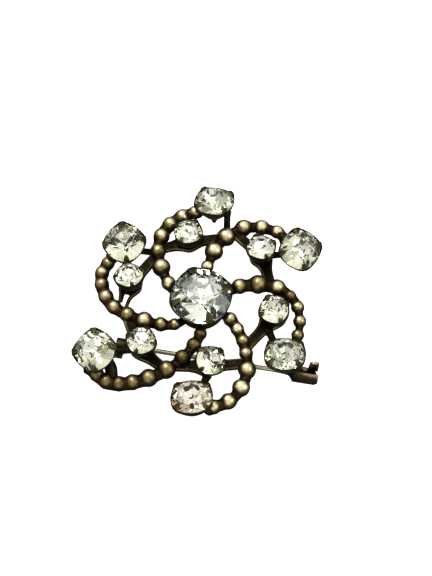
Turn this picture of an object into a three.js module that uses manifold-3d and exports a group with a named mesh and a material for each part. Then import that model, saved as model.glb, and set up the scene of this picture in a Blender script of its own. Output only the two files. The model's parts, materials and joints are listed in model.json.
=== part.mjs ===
// Swirl brooch in beaded brass with claw-set clear stones.
// Six beaded arms sweep out clockwise from a hub under the large centre stone.
// Each arm hooks round a small inner stone and ends at a leaning outer stone.
// Flat straps join arm to arm under the inner stones, and short stays brace the outer collets.
// A swinging pin stem, its riveted hinge bracket and a C-shaped catch sit behind.
// Millimetres. The origin is the centre of the hub's back face, +Z points out of the front,
// +X points to the hinge side and +Y to the top of the brooch as worn.
import * as THREE from 'three';
import { mergeVertices } from 'three/addons/utils/BufferGeometryUtils.js';
import Module from 'manifold-3d';

const wasm = await Module();
wasm.setup();

// ---- driving dimensions ----
const GAP = 0.07;                 // clearance between pieces that are soldered together
const RUNNING = 0.04;             // radial clearance of the rivet in the pin stem's eye

const HUB = { radius: 4.1, thickness: 0.6, edge: 0.15 };

// Stone sizes: girdle radius, crown height above it and pavilion depth below it.
// The collet is a funnel round the stone: rim radius, the funnel's shoulder, a stub that tapers
// from there to a foot, and the width and reach of its four claws.
const CENTRE = {
  stone: 4.55, crown: 1.85, pavilion: 3.5, girdleZ: 4.55,
  rim: 4.82, shoulder: 1.6, foot: 1.6, stub: 0, claw: 1.3, reach: 1.4,
};
const OUTER = {
  stone: 3.05, crown: 1.35, pavilion: 2.95, girdleZ: 4.3,
  rim: 3.27, shoulder: 0.95, foot: 0.4, stub: 0.6, claw: 1.1, reach: 1.0,
};
const TOP_OUTER = { ...OUTER, stub: 1.4 };   // the top collet stands on a longer foot
const INNER = {
  stone: 2.15, crown: 0.98, pavilion: 2.15, girdleZ: 4.75,
  rim: 2.33, shoulder: 1.2, foot: 1.2, stub: 0, claw: 0.8, reach: 0.75,
};
const TABLE = 0.48;               // table radius as a share of the girdle radius
const COLLET_FLOOR = 0.35;        // metal under the stone's point
const GIRDLE_HALF = 0.07;         // half the height of a stone's upright girdle
const STONE_GAP = 0.06;           // from the girdle to the collet's wall
const CLAW_OUT = 0.14;            // how far a claw's back stands outside the rim
const STONE_SIDES = 12;
const COLLET_SIDES = 16;
const ARM_SIDES = 8;

// Where each set stone sits: plan place, lean in degrees from +Z, the plan direction
// it leans towards, and the turn of its claws about its own axis.
const CENTRE_SET = { at: [0, 0], lean: 0, towards: 0, spin: 18 };
const OUTER_SET = [
  { at: [2.0, 16.7], lean: 18, towards: 90, spin: 30 },
  { at: [15.4, 8.1], lean: 18, towards: -75, spin: 12 },
  { at: [12.6, -9.4], lean: 18, towards: 95, spin: 40 },
  { at: [-1.3, -16.2], lean: 19, towards: 100, spin: 45 },
  { at: [-15.9, -8.8], lean: 12, towards: -130, spin: 3 },
  { at: [-12.0, 9.3], lean: 9, towards: -90, spin: 8 },
];
const INNER_SET = [
  { at: [-2.0, 11.0], lean: 8, towards: 90, spin: 60 },
  { at: [9.3, 8.3], lean: 8, towards: 100, spin: 20 },
  { at: [11.1, -2.3], lean: 5, towards: -90, spin: 25 },
  { at: [1.5, -10.6], lean: 14, towards: -30, spin: 47 },
  { at: [-8.9, -7.4], lean: 4, towards: 60, spin: 70 },
  { at: [-11.1, 3.5], lean: 12, towards: 100, spin: 15 },
];

// Beaded arms, bent by hand: plan bends of the centreline from the hub to the outer collet,
// then each bead's distance along the arm and its diameter.
const ARM_ROOT_Z = 2.55;
const ARM_TIP_Z = 1.75;
const ARM_FOOT_Z = 1.25;          // centreline height where an arm lies on the hub
const FOOT_RADIUS = 0.58;         // where the rod starts on the hub
const RAIL_RADIUS = 0.85;         // the rod between the beads
const ARMS = [
  {
    bends: [[-2.4, 0.2], [-5.1, 3.3], [-6.8, 8.6], [-5.8, 12.7], [-3.0, 15.3], [-0.4, 16.2]],
    beads: [[4.2, 2.3], [7.15, 2.9], [10.15, 2.6], [12.9, 2.65], [15.5, 2.5], [17.9, 2.4], [20.1, 2.2]],
  },
  {
    bends: [[0.0, 2.4], [0.9, 6.0], [3.2, 10.7], [7.4, 13.2], [12.2, 12.3], [13.9, 10.2]],
    beads: [[4.0, 2.0], [6.85, 2.95], [10.15, 3.0], [13.4, 2.75], [16.3, 2.5], [18.9, 2.2]],
  },
  {
    bends: [[2.2, 1.0], [6.1, 2.7], [11.6, 2.6], [14.5, 0.2], [15.1, -3.9], [13.9, -7.6]],
    beads: [[4.3, 2.5], [7.15, 3.0], [10.2, 2.6], [12.65, 1.8], [14.85, 2.1], [17.2, 2.1], [19.5, 2.0]],
  },
  {
    bends: [[2.4, -0.8], [4.7, -3.2], [6.6, -7.2], [6.8, -12.0], [4.7, -15.6], [1.1, -17.2]],
    beads: [
      [3.1, 2.2], [5.1, 2.1], [7.15, 2.1], [9.25, 2.15],
      [11.9, 2.8], [14.9, 2.75], [17.75, 2.55], [20.15, 2.3],
    ],
  },
  {
    bends: [[0.3, -2.4], [-0.3, -5.8], [-3.3, -9.7], [-8.2, -12.5], [-13.6, -13.1], [-17.0, -10.5]],
    beads: [
      [3.1, 2.0], [5.25, 2.3], [7.9, 2.6], [10.95, 2.85],
      [13.9, 2.8], [16.4, 2.5], [18.45, 2.4], [20.4, 2.4], [22.3, 2.3],
    ],
  },
  {
    bends: [[-1.6, -1.8], [-4.4, -3.8], [-9.7, -2.7], [-14.0, -0.1], [-15.6, 4.6], [-13.9, 8.3]],
    beads: [
      [3.3, 1.9], [5.45, 2.3], [8.1, 2.75], [10.95, 2.45], [13.4, 2.35],
      [15.65, 2.4], [17.85, 2.35], [19.9, 2.3], [21.8, 2.2],
    ],
  },
];

// Straps: from a bead of one arm, under an inner collet, to a bead of the next arm.
const STRAP = { width: 1.2, thickness: 0.5, dishRadius: 1.4, dishEdge: 0.35, endZ: 2.25, lowZ: 1.85 };
const STRAP_ENDS = [
  { from: [-6.9, 9.3], to: [3.6, 11.3] },
  { from: [5.1, 12.3], to: [10.7, 3.2] },
  { from: [12.8, 2.3], to: [6.7, -7.6] },
  { from: [6.8, -10.0], to: [-4.4, -10.4] },
  { from: [-5.4, -11.0], to: [-11.6, -1.7] },
  { from: [-12.4, -1.2], to: [-6.9, 8.4] },
];

// Stays: from the side of an outer collet to a neighbouring bead or strap.
const STAY = { width: 1.05, thickness: 0.6 };
const STAY_ENDS = [
  { from: [4.1, 15.6, 3.0], to: [4.0, 11.9, 2.1] },
  { from: [15.0, 8.8, 1.9], to: [10.2, 8.2, 1.9] },
  { from: [12.6, -9.6, 1.9], to: [10.3, -4.6, 1.9] },
  { from: [-1.3, -17.0, 1.9], to: [1.0, -11.9, 1.9] },
  { from: [-15.2, -8.2, 1.9], to: [-9.8, -7.6, 1.9] },
  { from: [-12.0, 9.4, 1.9], to: [-7.0, 8.8, 1.9] },
];

// Pin stem, hinge and catch. The stem swings about the rivet. The rivet is leaned out of the
// back plane, so the stem leaves the catch sideways and down.
const PIN_Z = -1.5;
const RIVET_AT = new THREE.Vector3(15.7, -10.45, PIN_Z);
const PIN_TIP = new THREE.Vector3(-13.8, -5.4, PIN_Z);
const PIN = { radius: 0.38, start: 0.65, point: 2.6, eyeRadius: 0.95, eyeWidth: 0.8, sideGap: 0.06 };
const SWING_LEAN = 45;            // degrees between straight back and the way the stem leaves
const RIVET = { radius: 0.36, headRadius: 0.68, headHeight: 0.25 };
const BRACKET = { ear: 0.42, back: 2.3, front: 1.7, depth: 1.0, web: 0.4, leg: 0.55 };
const TAB = { width: 1.2, thickness: 0.45, x: 17.3, y: -10.05, top: 2.4 };
const CATCH = { fromTip: 0.65, width: 1.7, inner: 0.8, wall: 0.4, mouth: 76, post: 3.2, stand: 0.45 };

// ---- materials ----
const brass = () => new THREE.MeshStandardMaterial({ color: 0x6b5a36, roughness: 0.38, metalness: 1 });
const darkBrass = () => new THREE.MeshStandardMaterial({ color: 0x54472c, roughness: 0.42, metalness: 1 });
const steel = () => new THREE.MeshStandardMaterial({ color: 0x77705c, roughness: 0.35, metalness: 1 });
const paste = () => new THREE.MeshStandardMaterial({ color: 0xdfe6da, roughness: 0.05, metalness: 0 });

// ---- joining and cutting ----
function toSolid(geometry) {
  const bare = geometry.index ? geometry.clone() : geometry;
  for (const name of ['normal', 'uv']) bare.deleteAttribute(name);
  const merged = mergeVertices(bare, 1e-4);
  const vertProperties = new Float32Array(merged.attributes.position.array);
  const triVerts = new Uint32Array(merged.index.array);
  return new wasm.Manifold(new wasm.Mesh({ numProp: 3, vertProperties, triVerts }));
}

function toGeometry(solid) {
  const { vertProperties, triVerts } = solid.getMesh();
  const geometry = new THREE.BufferGeometry();
  geometry.setAttribute('position', new THREE.BufferAttribute(new Float32Array(vertProperties), 3));
  geometry.setIndex(new THREE.BufferAttribute(new Uint32Array(triVerts), 1));
  geometry.computeVertexNormals();
  return geometry;
}

function join(solids) {
  return solids.reduce((whole, solid) => whole.add(solid));
}

// Cuts a piece to fit its neighbours, and keeps the main body without the slivers beyond them.
function cut(solid, tools) {
  const rest = tools.reduce((left, tool) => left.subtract(tool), solid);
  return rest.decompose().reduce((big, next) => (next.volume() > big.volume() ? next : big));
}

// ---- shared shapes ----
const degrees = THREE.MathUtils.degToRad;
const UP = new THREE.Vector3(0, 0, 1);

// Turns a profile of [radius, height] points about +Z.
function turned(profile, sides) {
  const points = profile.map(([radius, height]) => new THREE.Vector2(radius, height));
  return new THREE.LatheGeometry(points, sides).rotateX(Math.PI / 2);
}

// A flat outline, [x, y] points, pushed out along +Z.
function slab(outline, depth) {
  const shape = new THREE.Shape(outline.map(([x, y]) => new THREE.Vector2(x, y)));
  return new THREE.ExtrudeGeometry(shape, { depth, bevelEnabled: false });
}

// A flat bar laid along a curve in the plan plane, broad side up.
function bar(curve, width, thickness, steps) {
  const [up, across] = [thickness / 2, width / 2];
  const corners = [[-up, -across], [up, -across], [up, across], [-up, across]];
  const section = new THREE.Shape(corners.map(([x, y]) => new THREE.Vector2(x, y)));
  return new THREE.ExtrudeGeometry(section, { steps, extrudePath: curve });
}

function rod(curve, radius, sides, steps) {
  const shape = new THREE.Shape();
  shape.absarc(0, 0, radius, 0, 2 * Math.PI);
  const section = new THREE.Shape(shape.getSpacedPoints(sides).slice(0, sides));
  return new THREE.ExtrudeGeometry(section, { steps, extrudePath: curve });
}

// The matrix that carries a setting from its own axes, girdle at z = 0, to its place.
function settingMatrix(size, { at, lean, towards, spin }) {
  const tilt = degrees(lean);
  const way = degrees(towards);
  const axis = new THREE.Vector3(
    Math.sin(tilt) * Math.cos(way),
    Math.sin(tilt) * Math.sin(way),
    Math.cos(tilt),
  );
  const turn = new THREE.Quaternion().setFromUnitVectors(UP, axis);
  turn.multiply(new THREE.Quaternion().setFromAxisAngle(UP, degrees(spin)));
  const place = new THREE.Vector3(at[0], at[1], size.girdleZ);
  return new THREE.Matrix4().compose(place, turn, new THREE.Vector3(1, 1, 1));
}

// ---- stones and collets ----
function stoneGeometry(size) {
  return turned([
    [0, -size.pavilion],
    [size.stone, -GIRDLE_HALF],
    [size.stone, GIRDLE_HALF],
    [size.stone * TABLE, size.crown],
    [0, size.crown],
  ], STONE_SIDES);
}

function clawGeometry(size) {
  const back = size.rim + CLAW_OUT;
  const inside = size.stone + STONE_GAP + 0.02;
  const tip = size.rim - size.reach;
  const slope = (size.crown - GIRDLE_HALF) / (size.stone * (1 - TABLE));
  const crownAtTip = GIRDLE_HALF + (size.stone - tip) * slope;
  const outline = [
    [inside, -0.4],
    [back - 0.1, -0.4],
    [back, 0.1],
    [back - 0.2, 0.5],
    [tip, crownAtTip + 0.3],
    [tip, crownAtTip + GAP],
    [inside, 0.18],
  ];
  return slab(outline, size.claw).rotateX(Math.PI / 2).translate(0, size.claw / 2, 0);
}

function colletSolid(size) {
  const depth = size.pavilion + COLLET_FLOOR;
  const stub = size.stub > 0 ? [[size.shoulder, -depth]] : [];
  const cup = turned([
    [0, -depth - size.stub],
    [size.foot, -depth - size.stub],
    ...stub,
    [size.rim, -0.5],
    [size.rim, 0.1],
    [size.stone + STONE_GAP, 0.1],
    [size.stone + STONE_GAP, -0.15],
    [0, -size.pavilion - 0.13],
  ], COLLET_SIDES);
  const claws = [0, 90, 180, 270].map((angle) => toSolid(clawGeometry(size).rotateZ(degrees(angle))));
  return join([toSolid(cup), ...claws]);
}

// The space a collet takes up, with clearance, for cutting its neighbours to fit.
function colletSpace(size, setting) {
  const depth = size.pavilion + COLLET_FLOOR;
  const stub = size.stub > 0 ? [[size.shoulder + GAP, -depth]] : [];
  const rim = size.rim + CLAW_OUT + GAP;
  const block = turned([
    [0, -depth - size.stub - GAP],
    [size.foot + GAP, -depth - size.stub - GAP],
    ...stub,
    [rim, -0.45],
    [rim, size.crown],
    [0, size.crown],
  ], COLLET_SIDES);
  return toSolid(block.applyMatrix4(settingMatrix(size, setting)));
}

// ---- hub ----
function hubGeometry(grow = 0) {
  const radius = HUB.radius + grow;
  return turned([
    [0, -grow],
    [radius, -grow],
    [radius, HUB.thickness - HUB.edge + grow],
    [radius - HUB.edge, HUB.thickness + grow],
    [0, HUB.thickness + grow],
  ], 24);
}

// ---- arms ----
function armCurve(arm) {
  const last = arm.bends.length - 1;
  const points = arm.bends.map(([x, y], i) => {
    const fall = THREE.MathUtils.lerp(ARM_ROOT_Z, ARM_TIP_Z, i / last);
    return new THREE.Vector3(x, y, i === 0 ? ARM_FOOT_Z : fall);
  });
  return new THREE.CatmullRomCurve3(points, false, 'centripetal');
}

// The outline of the straight beaded rod before it is bent: radius and place along it.
function beadedProfile(arm, grow) {
  const neck = RAIL_RADIUS + grow;
  const length = armCurve(arm).getLength();
  const profile = [[0, 0], [FOOT_RADIUS + grow, 0]];
  for (const [along, diameter] of arm.beads) {
    const round = diameter / 2 + grow;
    const half = Math.sqrt(round * round - neck * neck);
    for (const share of [-1, -0.72, 0, 0.72, 1]) {
      const step = share * half;
      profile.push([Math.sqrt(round * round - step * step), along + step]);
    }
  }
  profile.push([neck, length], [0, length]);
  return profile;
}

// An arm is a turned rod of beads, bent to its curve.
function armSolid(arm, grow = 0) {
  const curve = armCurve(arm);
  const length = curve.getLength();
  const geometry = turned(beadedProfile(arm, grow), ARM_SIDES);
  const place = geometry.attributes.position;
  for (let k = 0; k < place.count; k += 1) {
    const share = THREE.MathUtils.clamp(place.getZ(k) / length, 0, 1);
    const along = curve.getTangentAt(share);
    const side = UP.clone().cross(along).normalize();
    const over = along.clone().cross(side);
    const point = curve.getPointAt(share);
    point.addScaledVector(side, place.getX(k)).addScaledVector(over, place.getY(k));
    place.setXYZ(k, point.x, point.y, point.z);
  }
  return toSolid(geometry);
}

// ---- straps and stays ----
// The point under a leaning collet's foot.
function footOf(size, setting) {
  const foot = new THREE.Vector3(0, 0, -size.pavilion - COLLET_FLOOR - size.stub);
  return foot.applyMatrix4(settingMatrix(size, setting));
}

// A strap sags from its ends to the dish that carries the inner collet.
function strapSolid(i, grow = 0) {
  const { from, to } = STRAP_ENDS[i];
  const foot = footOf(INNER, INNER_SET[i]).setZ(0);
  const ends = [from, to].map(([x, y]) => new THREE.Vector3(x, y, 0));
  const curve = new THREE.CatmullRomCurve3([ends[0], foot, ends[1]]);
  const band = bar(curve, STRAP.width + 2 * grow, STRAP.thickness + 2 * grow, 14);
  const reach = Math.min(ends[0].distanceTo(foot), ends[1].distanceTo(foot));
  const place = band.attributes.position;
  const here = new THREE.Vector3();
  for (let k = 0; k < place.count; k += 1) {
    here.fromBufferAttribute(place, k).setZ(0);
    const share = Math.min(here.distanceTo(foot) / reach, 1);
    place.setZ(k, place.getZ(k) + THREE.MathUtils.lerp(STRAP.lowZ, STRAP.endZ, share * share));
  }
  const half = STRAP.thickness / 2 + grow;
  const dish = turned([
    [0, -half],
    [STRAP.dishRadius - STRAP.dishEdge + grow, -half],
    [STRAP.dishRadius + grow, half],
    [0, half],
  ], 16);
  return join([toSolid(band), toSolid(dish.translate(foot.x, foot.y, STRAP.lowZ))]);
}

function staySolid(i, grow = 0) {
  const from = new THREE.Vector3(...STAY_ENDS[i].from);
  const to = new THREE.Vector3(...STAY_ENDS[i].to);
  const along = to.clone().sub(from).normalize();
  const side = UP.clone().cross(along).normalize();
  const matrix = new THREE.Matrix4().makeBasis(along, side, along.clone().cross(side));
  matrix.setPosition(from.clone().add(to).divideScalar(2));
  const size = [from.distanceTo(to), STAY.width + 2 * grow, STAY.thickness + 2 * grow];
  return toSolid(new THREE.BoxGeometry(...size).applyMatrix4(matrix));
}

// ---- pin stem, hinge and catch ----
// Their own axes: x along the stem from rivet to point, y along the rivet, and z towards the
// front of the brooch. The stem leaves the catch along -z.
const STEM_LENGTH = RIVET_AT.distanceTo(PIN_TIP);
const alongStem = PIN_TIP.clone().sub(RIVET_AT).normalize();
const besideStem = UP.clone().cross(alongStem);
const towardsFront = UP.clone().multiplyScalar(Math.cos(degrees(SWING_LEAN)));
towardsFront.addScaledVector(besideStem, Math.sin(degrees(SWING_LEAN)));
const alongRivet = towardsFront.clone().cross(alongStem);
const pinworkMatrix = new THREE.Matrix4().makeBasis(alongStem, alongRivet, towardsFront);
pinworkMatrix.setPosition(RIVET_AT);

function circle(radius, sides) {
  const points = [];
  for (let k = 0; k < sides; k += 1) {
    const angle = (2 * Math.PI * k) / sides;
    points.push(new THREE.Vector2(radius * Math.cos(angle), radius * Math.sin(angle)));
  }
  return points;
}

// A plate standing across the rivet, outlined in x and z, between two places along the rivet.
function plate(shape, low, high) {
  const depth = high - low;
  const geometry = new THREE.ExtrudeGeometry(shape, { depth, bevelEnabled: false });
  return toSolid(geometry.rotateX(Math.PI / 2).translate(0, high, 0));
}

function pinSolid() {
  const eye = new THREE.Shape(circle(PIN.eyeRadius, 20));
  eye.holes.push(new THREE.Path(circle(RIVET.radius + RUNNING, 16).reverse()));
  const stem = turned([
    [0, PIN.start],
    [PIN.radius, PIN.start],
    [PIN.radius, STEM_LENGTH - PIN.point],
    [0.05, STEM_LENGTH],
    [0, STEM_LENGTH],
  ], 10).rotateY(Math.PI / 2);
  return join([plate(eye, -PIN.eyeWidth / 2, PIN.eyeWidth / 2), toSolid(stem)]);
}

const EAR_IN = PIN.eyeWidth / 2 + PIN.sideGap;
const EAR_OUT = EAR_IN + BRACKET.ear;

function rivetSolid() {
  const shoulder = EAR_OUT + 0.04;
  return toSolid(turned([
    [0, -shoulder - RIVET.headHeight],
    [RIVET.headRadius * 0.7, -shoulder - RIVET.headHeight],
    [RIVET.headRadius, -shoulder],
    [RIVET.radius, -shoulder],
    [RIVET.radius, shoulder],
    [RIVET.headRadius, shoulder],
    [RIVET.headRadius * 0.7, shoulder + RIVET.headHeight],
    [0, shoulder + RIVET.headHeight],
  ], 16).rotateX(-Math.PI / 2));
}

function bracketSolid() {
  const { back, front, depth, web } = BRACKET;
  const webLow = PIN.eyeRadius + 0.1;
  const webHigh = webLow + web;
  const outline = [
    [-back, -depth * 0.5],
    [-back * 0.7, -depth],
    [front * 0.4, -depth],
    [front, 0],
    [front, webHigh],
    [-back, webHigh],
  ];
  const ear = new THREE.Shape(outline.map(([x, z]) => new THREE.Vector2(x, z)));
  ear.holes.push(new THREE.Path(circle(RIVET.radius + RUNNING, 16).reverse()));
  const webShape = new THREE.Shape([
    [-back, webLow],
    [front + 0.6, webLow],
    [front + 0.6, webHigh],
    [-back, webHigh],
  ].map(([x, z]) => new THREE.Vector2(x, z)));
  const box = join([
    plate(ear, -EAR_OUT, -EAR_IN),
    plate(ear, EAR_IN, EAR_OUT),
    plate(webShape, -EAR_OUT, EAR_OUT),
  ]);
  const foot = footOf(OUTER, OUTER_SET[2]);
  const root = new THREE.Vector3(front - 0.3, 0, webHigh - 0.25).applyMatrix4(pinworkMatrix);
  const leg = rod(new THREE.LineCurve3(root, foot), BRACKET.leg, 8, 1);
  const tab = new THREE.BoxGeometry(TAB.width, TAB.thickness, TAB.top - PIN_Z - 0.6);
  tab.translate(TAB.x, TAB.y, (TAB.top + PIN_Z + 0.6) / 2);
  return join([box.transform(pinworkMatrix.elements), toSolid(leg), toSolid(tab)]);
}

function catchSolid() {
  const { inner, wall, mouth, width, post, fromTip, stand } = CATCH;
  const outer = inner + wall;
  const open = degrees(mouth / 2);
  const bow = new THREE.Shape();
  bow.absarc(0, 0, outer, open - Math.PI / 2, 1.5 * Math.PI - open, false);
  bow.absarc(0, 0, inner, 1.5 * Math.PI - open, open - Math.PI / 2, true);
  const bend = new THREE.ExtrudeGeometry(bow, { depth: width, bevelEnabled: false, curveSegments: 14 });
  const upstand = new THREE.BoxGeometry(stand, post, width);
  upstand.translate(0, outer - 0.15 + post / 2, width / 2);
  const whole = join([toSolid(bend), toSolid(upstand)]);
  const upright = new THREE.Matrix4().makeBasis(
    new THREE.Vector3(0, 1, 0),
    new THREE.Vector3(0, 0, 1),
    new THREE.Vector3(1, 0, 0),
  );
  upright.setPosition(STEM_LENGTH - fromTip - width, 0, 0);
  return whole.transform(upright.premultiply(pinworkMatrix).elements);
}

// ---- assembly ----
const brooch = new THREE.Group();

function add(name, geometry, material, matrix) {
  const mesh = new THREE.Mesh(geometry, material);
  mesh.name = name;
  if (matrix) mesh.applyMatrix4(matrix);
  brooch.add(mesh);
}

function addSetting(stoneName, colletName, size, setting) {
  const matrix = settingMatrix(size, setting);
  add(stoneName, stoneGeometry(size), paste(), matrix);
  add(colletName, toGeometry(colletSolid(size)), darkBrass(), matrix);
}

add('hub', hubGeometry(), darkBrass());
addSetting('centre_stone', 'centre_collet', CENTRE, CENTRE_SET);
const outerSize = (i) => (i === 0 ? TOP_OUTER : OUTER);
OUTER_SET.forEach((set, i) => {
  addSetting(`outer_stone_${i + 1}`, `outer_collet_${i + 1}`, outerSize(i), set);
});
INNER_SET.forEach((set, i) => addSetting(`inner_stone_${i + 1}`, `inner_collet_${i + 1}`, INNER, set));

const centreSpace = [toSolid(hubGeometry(GAP)), colletSpace(CENTRE, CENTRE_SET)];
const outerSpaces = OUTER_SET.map((set, i) => colletSpace(outerSize(i), set));
const innerSpaces = INNER_SET.map((set) => colletSpace(INNER, set));
const armSpaces = ARMS.map((arm) => armSolid(arm, GAP));
const strapSpaces = STRAP_ENDS.map((ends, i) => strapSolid(i, GAP));

ARMS.forEach((arm, i) => {
  const solid = cut(armSolid(arm), [...centreSpace, outerSpaces[i], innerSpaces[i]]);
  add(`beaded_arm_${i + 1}`, toGeometry(solid), brass());
});

STRAP_ENDS.forEach((ends, i) => {
  const solid = cut(strapSolid(i), [armSpaces[i], armSpaces[(i + 1) % 6], innerSpaces[i]]);
  add(`strap_${i + 1}`, toGeometry(solid), brass());
});

STAY_ENDS.forEach((ends, i) => {
  const near = [outerSpaces[i], innerSpaces[i], ...armSpaces, ...strapSpaces];
  add(`stay_${i + 1}`, toGeometry(cut(staySolid(i), near)), darkBrass());
});

const staySpace = staySolid(4, GAP);
add('hinge_bracket', toGeometry(cut(bracketSolid(), [outerSpaces[2], armSpaces[2]])), darkBrass());
add('hinge_rivet', toGeometry(rivetSolid()), steel(), pinworkMatrix);
add('pin_stem', toGeometry(pinSolid()), steel(), pinworkMatrix);
const catchNeighbours = [staySpace, outerSpaces[4], innerSpaces[4], strapSpaces[4]];
add('catch', toGeometry(cut(catchSolid(), catchNeighbours)), darkBrass());

export default brooch;
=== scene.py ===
"""Looks for a swirl brooch: beaded antique-brass arms, claw-set foiled paste stones, a pin behind.

Every piece is shaped in millimetres on the CAD frame's own axes, and made metres once finished.
"""
import json
import math
import random

import bmesh
import bpy
from mathutils import Matrix, Quaternion, Vector


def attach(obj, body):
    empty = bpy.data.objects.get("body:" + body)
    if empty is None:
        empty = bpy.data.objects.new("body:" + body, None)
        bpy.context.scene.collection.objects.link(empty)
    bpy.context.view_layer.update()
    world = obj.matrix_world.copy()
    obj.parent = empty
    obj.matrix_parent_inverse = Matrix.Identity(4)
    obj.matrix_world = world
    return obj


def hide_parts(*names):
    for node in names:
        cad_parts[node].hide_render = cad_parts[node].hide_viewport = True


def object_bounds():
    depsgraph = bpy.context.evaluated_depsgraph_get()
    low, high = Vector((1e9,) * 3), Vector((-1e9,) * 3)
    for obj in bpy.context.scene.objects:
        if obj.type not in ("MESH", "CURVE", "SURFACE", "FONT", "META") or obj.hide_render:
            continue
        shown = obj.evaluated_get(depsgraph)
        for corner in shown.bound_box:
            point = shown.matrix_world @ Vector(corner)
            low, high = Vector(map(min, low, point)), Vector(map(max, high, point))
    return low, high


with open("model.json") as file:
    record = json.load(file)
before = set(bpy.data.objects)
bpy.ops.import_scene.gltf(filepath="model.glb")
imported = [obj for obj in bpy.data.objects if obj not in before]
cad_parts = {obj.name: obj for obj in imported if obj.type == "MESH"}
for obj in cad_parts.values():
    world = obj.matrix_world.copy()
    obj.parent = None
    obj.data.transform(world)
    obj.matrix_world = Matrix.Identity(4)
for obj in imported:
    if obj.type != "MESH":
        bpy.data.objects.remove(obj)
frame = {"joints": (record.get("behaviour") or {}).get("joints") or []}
cad_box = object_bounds()

MM = 0.001
UP = Vector((0, 0, 1))
RANDOM = random.Random(11)

# ---------------------------------------------------------------- driving sizes, in millimetres
# Stones: the girdle's radius, the crown's height over it, the pavilion's depth under it and how
# high it sits. Collets: a sheet funnel from its foot past a shoulder and a belly to its rim, drawn
# out to four corners, with a stub under it, and the claws' width and reach over the crown.
CENTRE = dict(stone=4.55, crown=1.85, pavilion=3.5, girdle_z=4.55, rim=4.68, corner=0.3,
              shoulder=1.6, foot=1.6, belly=0.09, stub=0.0, sheet=0.22, claw=0.78, reach=1.75)
OUTER = dict(stone=3.05, crown=1.35, pavilion=2.95, girdle_z=4.3, rim=3.17, corner=0.32,
             shoulder=0.95, foot=0.4, belly=0.06, stub=0.6, sheet=0.18, claw=0.62, reach=1.2)
INNER = dict(stone=2.15, crown=0.98, pavilion=2.15, girdle_z=4.75, rim=2.24, corner=0.24,
             shoulder=1.2, foot=1.2, belly=0.17, stub=0.0, sheet=0.15, claw=0.48, reach=0.85)
TOP_OUTER = dict(OUTER, stub=1.4)
DEEP_INNER = dict(INNER, belly=0.3)
COLLET_FLOOR = 0.35

# A collet's wall: the shares of its height where it has a row, the heights of its last rows next
# to the girdle, and how far hand-bent sheet strays from its true line.
WALL_SHARES = (0.06, 0.18, 0.4, 0.62, 0.82, 0.94)
WALL_TOP_Z, FOLD_Z, RIM_Z = -0.35, -0.22, 0.1
STRAY = 0.012

# The cut of a stone: its table as a share of its width, half its girdle's thickness, its foiled
# facets' depth as a share of the pavilion, and how steep each further ring of facets is next to
# the main facets of its side.
TABLE = 0.48
GIRDLE = 0.07
FOIL_DEPTH = 0.76
MAIN_FACETS = 8
GIRDLE_FACET_RISE, STAR_FACET_RISE, LOWER_FACET_RISE = 1.35, 0.6, 1.06

# Columns of faces round a collet, and how many of them a claw takes on each side of its middle.
AROUND = 64
CLAW_HALF = 2

# Place on the plan, lean from +Z, the way it leans and the turn of its claws, in degrees.
CENTRE_SET = ((0, 0), 0, 0, 18)
OUTER_SET = [
    ((2.0, 16.7), 18, 90, 30),
    ((15.4, 8.1), 18, -75, 12),
    ((12.6, -9.4), 18, 95, 40),
    ((-1.3, -16.2), 19, 100, 45),
    ((-15.9, -8.8), 12, -130, 3),
    ((-12.0, 9.3), 9, -90, 8),
]
INNER_SET = [
    ((-2.0, 11.0), 8, 90, 60),
    ((9.3, 8.3), 8, 100, 20),
    ((11.1, -2.3), 5, -90, 25),
    ((1.5, -10.6), 14, -30, 47),
    ((-8.9, -7.4), 4, 60, 70),
    ((-11.1, 3.5), 12, 100, 15),
]

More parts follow.
